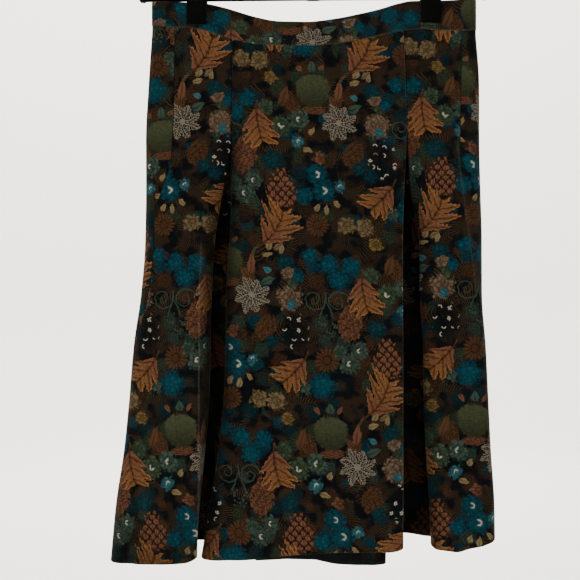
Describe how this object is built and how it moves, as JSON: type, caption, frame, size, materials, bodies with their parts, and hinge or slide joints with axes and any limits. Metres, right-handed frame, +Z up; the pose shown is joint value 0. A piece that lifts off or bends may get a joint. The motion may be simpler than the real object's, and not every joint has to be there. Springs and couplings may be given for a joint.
{
  "type": "a-line skirt on a clip hanger",
  "caption": "Knee-length A-line skirt of printed velveteen with inverted pleats and a shaped waistband, hanging flat from a plain clip hanger.",
  "frame": {"origin": "inner top of the hanger's hook, where a rail carries the hanger and the skirt", "axes": "+Z up, -Y out of the skirt's front, +X to the right of someone who looks at the front"},
  "size_m": [0.4683, 0.0665, 0.7981],
  "materials": {
    "velveteen": "printed cotton velveteen, soft nap, dark ground with leaves and flowers",
    "button": "dark four-hole button",
    "hanger_plastic": "black moulded plastic",
    "hook_steel": "plain bright wire"
  },
  "bodies": {
    "root": {"waistband_front": "velveteen", "waistband_back_left": "velveteen", "waistband_back_right": "velveteen", "front_centre": "velveteen", "front_side_left": "velveteen", "front_side_right": "velveteen", "front_underlay_left": "velveteen", "front_underlay_right": "velveteen", "back_centre_left": "velveteen", "back_centre_right": "velveteen", "back_side_left": "velveteen", "back_side_right": "velveteen", "back_underlay_left": "velveteen", "back_underlay_right": "velveteen", "back_placket": "velveteen", "waist_button": "button", "hanger_bar": "hanger_plastic", "hook_boss": "hanger_plastic", "hanger_hook": "hook_steel", "clip_left_sleeve": "hanger_plastic", "clip_left_front_jaw": "hanger_plastic", "clip_left_back_jaw": "hanger_plastic", "clip_right_sleeve": "hanger_plastic", "clip_right_front_jaw": "hanger_plastic", "clip_right_back_jaw": "hanger_plastic"}
  },
  "joints": []
}
